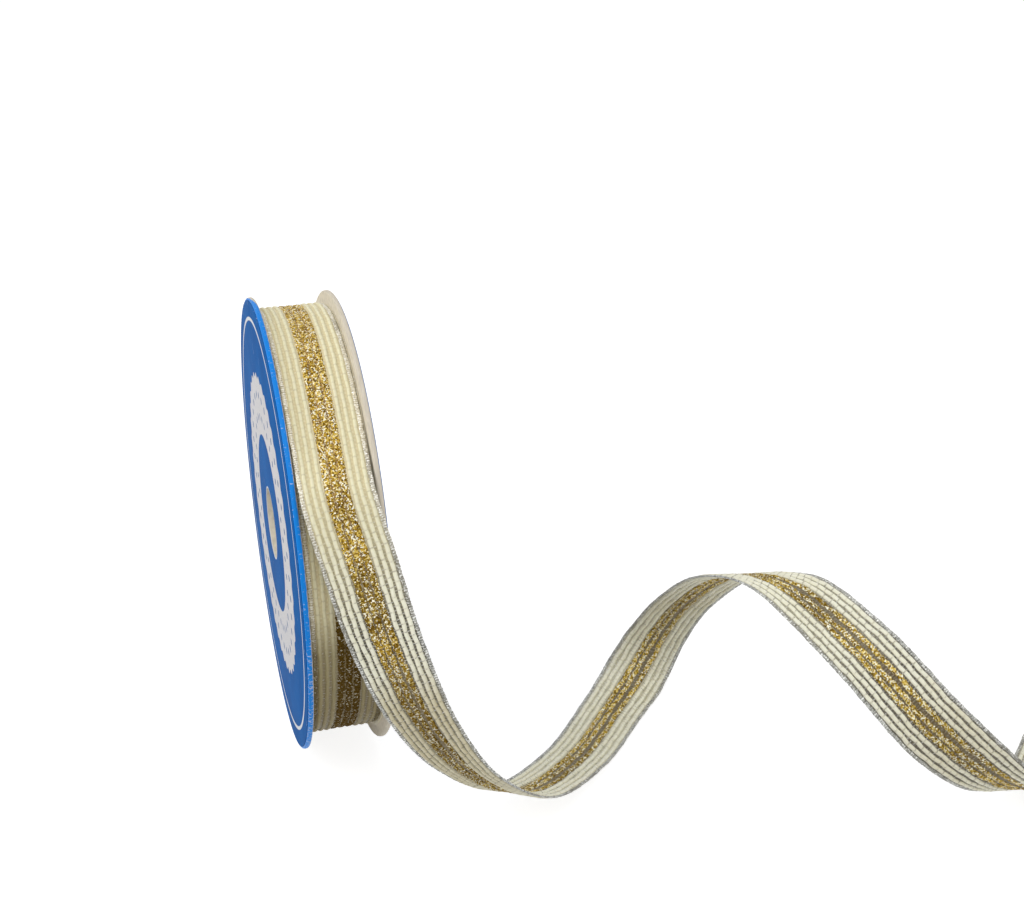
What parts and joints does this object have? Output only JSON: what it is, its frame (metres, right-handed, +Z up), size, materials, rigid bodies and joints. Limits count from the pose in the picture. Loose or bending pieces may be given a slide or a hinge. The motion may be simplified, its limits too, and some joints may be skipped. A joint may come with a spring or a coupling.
{
  "type": "ribbon spool",
  "caption": "Board-flanged spool of corded ribbon with a metallic centre band; the spool turns about its bore as the free end is drawn off.",
  "frame": {"origin": "centre of the bore, midway between the two flanges", "axes": "+X along the bore toward the rear flange, +Z up; the free end leaves the roll toward -Y and lies along +X"},
  "size_m": [0.2523, 0.1496, 0.108],
  "materials": {
    "board": "matte greyboard",
    "label": "printed paper, satin",
    "tape": "matte",
    "cream": "soft cord",
    "gold": "metallic glitter yarn",
    "silver": "metallic sheer selvedge",
    "weft": "sheer"
  },
  "bodies": {
    "ribbon": {"weft_turn": "weft", "weft_tail": "weft", "silver_edge_front": "silver", "silver_edge_rear": "silver", "cream_cord_1": "cream", "cream_cord_2": "cream", "cream_cord_3": "cream", "cream_cord_4": "cream", "cream_cord_5": "cream", "cream_cord_6": "cream", "gold_strand_1": "gold", "gold_strand_2": "gold", "gold_strand_3": "gold"},
    "spool": {"front_flange": "board", "front_label": "label", "rear_flange": "board", "rear_label": "label", "core_tube": "board", "anchor_tape": "tape", "wound_ribbon": "cream"}
  },
  "joints": [
    {"name": "spool_turn", "type": "hinge", "parent": "ribbon", "child": "spool", "pos_m": [0, 0, 0], "axis": [1, 0, 0], "continuous": true}
  ]
}
